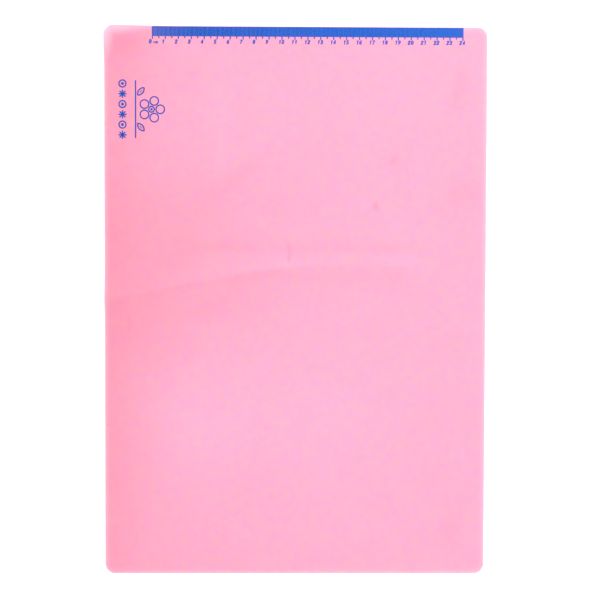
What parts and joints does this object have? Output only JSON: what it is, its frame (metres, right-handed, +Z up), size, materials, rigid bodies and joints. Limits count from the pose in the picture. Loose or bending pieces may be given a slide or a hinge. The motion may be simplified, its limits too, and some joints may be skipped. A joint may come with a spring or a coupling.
{
  "type": "scoring board",
  "caption": "Thin flexible rectangular craft and writing board with round corners, a centimetre ruler printed along one short edge, and a flower badge and plain marks near its zero.",
  "frame": {"origin": "under the middle of the sheet, on the surface that the board lies on", "axes": "+X across the board along the ruler from its zero to its end, +Y along the board's length towards the ruler, +Z up out of the printed face"},
  "size_m": [0.2968, 0.4264, 0.0016],
  "materials": {
    "soft_sheet": "satin",
    "ruler_ink": "satin",
    "badge_ink": "satin"
  },
  "bodies": {
    "root": {"badge_leaves": "badge_ink", "flower_dot": "badge_ink", "flower_petals": "badge_ink", "flower_ring": "badge_ink", "mat_sheet": "soft_sheet", "numeral_00": "ruler_ink", "numeral_01": "ruler_ink", "numeral_02": "ruler_ink", "numeral_03": "ruler_ink", "numeral_04": "ruler_ink", "numeral_05": "ruler_ink", "numeral_06": "ruler_ink", "numeral_07": "ruler_ink", "numeral_08": "ruler_ink", "numeral_09": "ruler_ink", "numeral_10": "ruler_ink", "numeral_11": "ruler_ink", "numeral_12": "ruler_ink", "numeral_13": "ruler_ink", "numeral_14": "ruler_ink", "numeral_15": "ruler_ink", "numeral_16": "ruler_ink", "numeral_17": "ruler_ink", "numeral_18": "ruler_ink", "numeral_19": "ruler_ink", "numeral_20": "ruler_ink", "numeral_21": "ruler_ink", "numeral_22": "ruler_ink", "numeral_23": "ruler_ink", "numeral_24": "ruler_ink", "row_mark_1": "badge_ink", "row_mark_2": "badge_ink", "row_mark_3": "badge_ink", "row_mark_4": "badge_ink", "row_mark_5": "badge_ink", "row_mark_6": "badge_ink", "rule_line": "badge_ink", "ruler_centimetre_ticks": "ruler_ink", "ruler_fine_ticks": "ruler_ink", "ruler_half_ticks": "ruler_ink", "unit_mark": "ruler_ink"}
  },
  "joints": []
}
